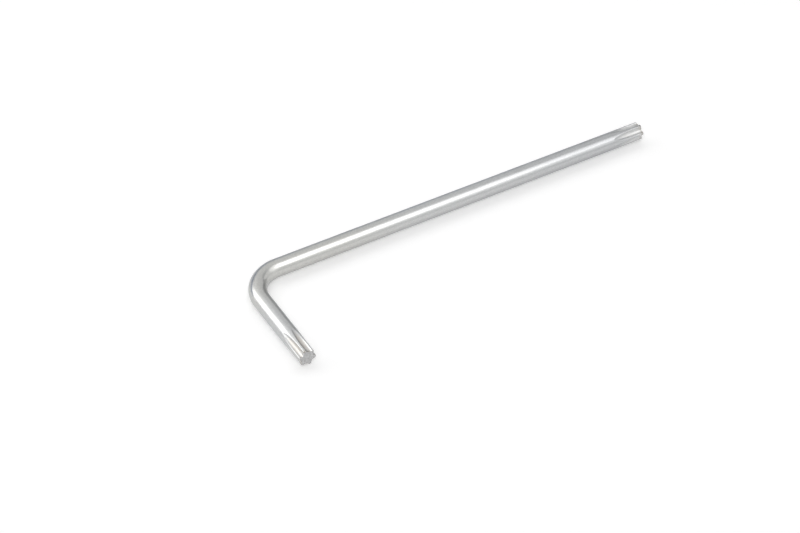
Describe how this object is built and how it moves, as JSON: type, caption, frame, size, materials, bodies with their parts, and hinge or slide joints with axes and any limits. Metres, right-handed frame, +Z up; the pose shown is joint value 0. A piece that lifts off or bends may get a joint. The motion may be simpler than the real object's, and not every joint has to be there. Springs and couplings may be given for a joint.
{
  "type": "star-drive key",
  "caption": "L-shaped star-drive key bent from round steel bar, with a six-lobed star tip on the end of each arm and a satin chrome finish.",
  "frame": {"origin": "on the surface that the key lies on, below the middle of its outline", "axes": "+X along the long arm towards its tip, -Y along the short arm towards its tip, +Z up from the surface that the key lies on"},
  "size_m": [0.1132, 0.0329, 0.0045],
  "materials": {
    "satin_chrome": "satin"
  },
  "bodies": {
    "root": {"star_key": "satin_chrome"}
  },
  "joints": []
}
